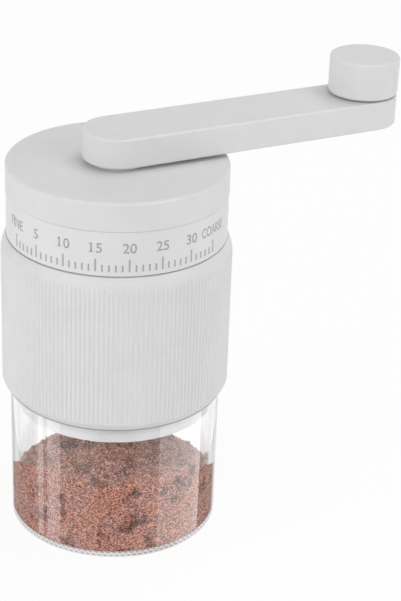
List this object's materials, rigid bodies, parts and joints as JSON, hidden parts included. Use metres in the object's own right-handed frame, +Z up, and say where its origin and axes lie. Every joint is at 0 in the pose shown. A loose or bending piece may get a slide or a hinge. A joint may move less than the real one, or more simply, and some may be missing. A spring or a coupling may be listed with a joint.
{
  "type": "manual coffee grinder",
  "caption": "Compact hand coffee grinder with a clear jar, ribbed grip, printed grind dial, conical burrs and a crank with a turning knob.",
  "frame": {"origin": "centre of the jar's flat base, on the main axis", "axes": "+Z up along the main axis, +X along the crank arm at rest, towards the knob"},
  "size_m": [0.1111, 0.06, 0.1212],
  "materials": {
    "white_plastic": "fine matte moulded white plastic",
    "grip_plastic": "matte moulded white plastic with fine ribs",
    "dial_plastic": "matte moulded white plastic with grey printed scale",
    "inner_plastic": "plain moulded white plastic",
    "slip_plastic": "smooth ivory slip plastic",
    "clear_plastic": "clear polished plastic",
    "burr_steel": "milled burr steel",
    "shaft_steel": "ground and turned steel",
    "dark_steel": "blackened spring and screw steel",
    "bush_brass": "turned bearing brass",
    "seal_rubber": "soft pale silicone",
    "ground_coffee": "loose coarse ground coffee"
  },
  "bodies": {
    "jar": {"jar": "clear_plastic", "coffee_grounds": "ground_coffee"},
    "housing": {"grip_sleeve": "grip_plastic", "hopper": "inner_plastic", "burr_housing": "inner_plastic", "ring_burr": "burr_steel", "burr_retainer": "shaft_steel", "body_screws": "dark_steel", "jar_seal": "seal_rubber", "bearing_spider": "inner_plastic", "lower_bush": "bush_brass", "dial_washer": "slip_plastic", "dial_clip": "dark_steel", "preload_spring": "shaft_steel"},
    "dial": {"dial_ring": "dial_plastic"},
    "carrier": {"shaft_carrier": "shaft_steel", "cam_pins": "shaft_steel", "bearing_outer_race": "shaft_steel", "bearing_balls": "shaft_steel"},
    "shaft": {"drive_shaft": "shaft_steel", "bearing_inner_race": "shaft_steel", "shaft_clip": "dark_steel", "cone_burr": "burr_steel", "burr_washer": "shaft_steel", "burr_nut": "shaft_steel"},
    "cap": {"top_cap": "white_plastic", "cap_seal": "seal_rubber", "cap_bush": "slip_plastic", "thrust_washer": "slip_plastic"},
    "crank": {"crank_arm": "white_plastic", "crank_hub": "shaft_steel", "hub_screw": "dark_steel", "hub_clip": "dark_steel", "knob_axle": "shaft_steel", "knob_washer": "slip_plastic", "knob_clip": "dark_steel"},
    "knob": {"knob": "white_plastic", "knob_bush": "slip_plastic"}
  },
  "joints": [
    {"name": "body_lift", "type": "slide", "parent": "jar", "child": "housing", "axis": [0, 0, 1], "range_m": [0, 0.06]},
    {"name": "dial_turn", "type": "hinge", "parent": "housing", "child": "dial", "pos_m": [0, 0, 0.088], "axis": [0, 0, 1], "range_deg": [-59, 59]},
    {"name": "burr_lift", "type": "slide", "parent": "housing", "child": "carrier", "axis": [0, 0, 1], "range_m": [-0.000327, 0.000327], "deforming": ["preload_spring"]},
    {"name": "shaft_spin", "type": "hinge", "parent": "carrier", "child": "shaft", "pos_m": [0, 0, 0.0875], "axis": [0, 0, 1], "continuous": true},
    {"name": "cap_lift", "type": "slide", "parent": "housing", "child": "cap", "axis": [0, 0, 1], "range_m": [0, 0.05]},
    {"name": "crank_spin", "type": "hinge", "parent": "cap", "child": "crank", "pos_m": [0, 0, 0.098], "axis": [0, 0, 1], "continuous": true},
    {"name": "knob_spin", "type": "hinge", "parent": "crank", "child": "knob", "pos_m": [0.0718, 0, 0.114], "axis": [0, 0, 1], "continuous": true}
  ],
  "couplings": [
    {"joint": "dial_turn", "follows": "burr_lift", "rad_per_m": 3141.6},
    {"joint": "shaft_spin", "follows": "crank_spin", "ratio": 1}
  ]
}
